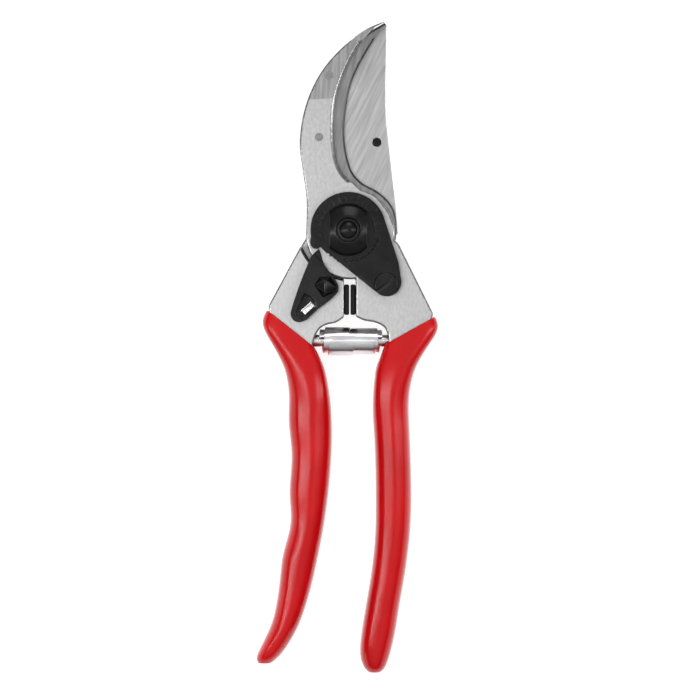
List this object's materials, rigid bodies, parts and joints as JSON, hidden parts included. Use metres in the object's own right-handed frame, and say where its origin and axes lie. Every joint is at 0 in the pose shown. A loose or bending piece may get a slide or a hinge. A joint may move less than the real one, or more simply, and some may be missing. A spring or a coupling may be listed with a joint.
{
  "type": "pruning shears",
  "caption": "One-hand bypass pruning shears with hooked counter-blade, riveted cutting blade, thumb catch, volute return spring and red plastic grips.",
  "frame": {"origin": "on the pivot axis, in the plane of the flat back face of the pivot bolt's head, which is the plane that the tool rests on when it lies on its back", "axes": "+Y from the pivot to the blade tip, +Z out of the front face with the thumb catch, +X to the side of the handle that carries the hook"},
  "size_m": [0.0601, 0.2144, 0.022],
  "materials": {
    "forged_alloy": "tumbled and ground satin",
    "red_grip": "smooth gloss",
    "hardened_steel": "ground, mid grey",
    "blade_steel": "ground along one direction",
    "bright_steel": "polished",
    "black_steel": "black oxide, satin",
    "black_plastic": "black, satin",
    "black_rubber": "matte"
  },
  "bodies": {
    "hook_side": {"hook_handle": "forged_alloy", "hook_grip": "red_grip", "anvil_blade": "hardened_steel", "anvil_rivets": "hardened_steel", "pivot_bolt": "black_steel", "pivot_washer": "bright_steel", "adjusting_nut": "black_steel", "locking_segment": "black_steel", "segment_screw": "black_steel", "hook_bumper": "black_rubber", "hook_stud": "bright_steel", "volute_spring": "bright_steel"},
    "blade_side": {"blade_handle": "forged_alloy", "blade_grip": "red_grip", "cutting_blade": "blade_steel", "blade_rivets": "hardened_steel", "blade_plug": "black_steel", "blade_bumper": "black_rubber", "blade_stud": "bright_steel", "catch_pin": "bright_steel"},
    "catch": {"thumb_catch": "black_plastic", "catch_spring": "bright_steel"}
  },
  "joints": [
    {"name": "main_pivot", "type": "hinge", "parent": "hook_side", "child": "blade_side", "pos_m": [0, 0, 0.01], "axis": [0, 0, -1], "range_deg": [0, 38], "deforming": ["volute_spring"]},
    {"name": "catch_pivot", "type": "hinge", "parent": "blade_side", "child": "catch", "pos_m": [-0.0126, -0.024, 0.017], "axis": [0, 0, 1], "range_deg": [0, 20]}
  ]
}
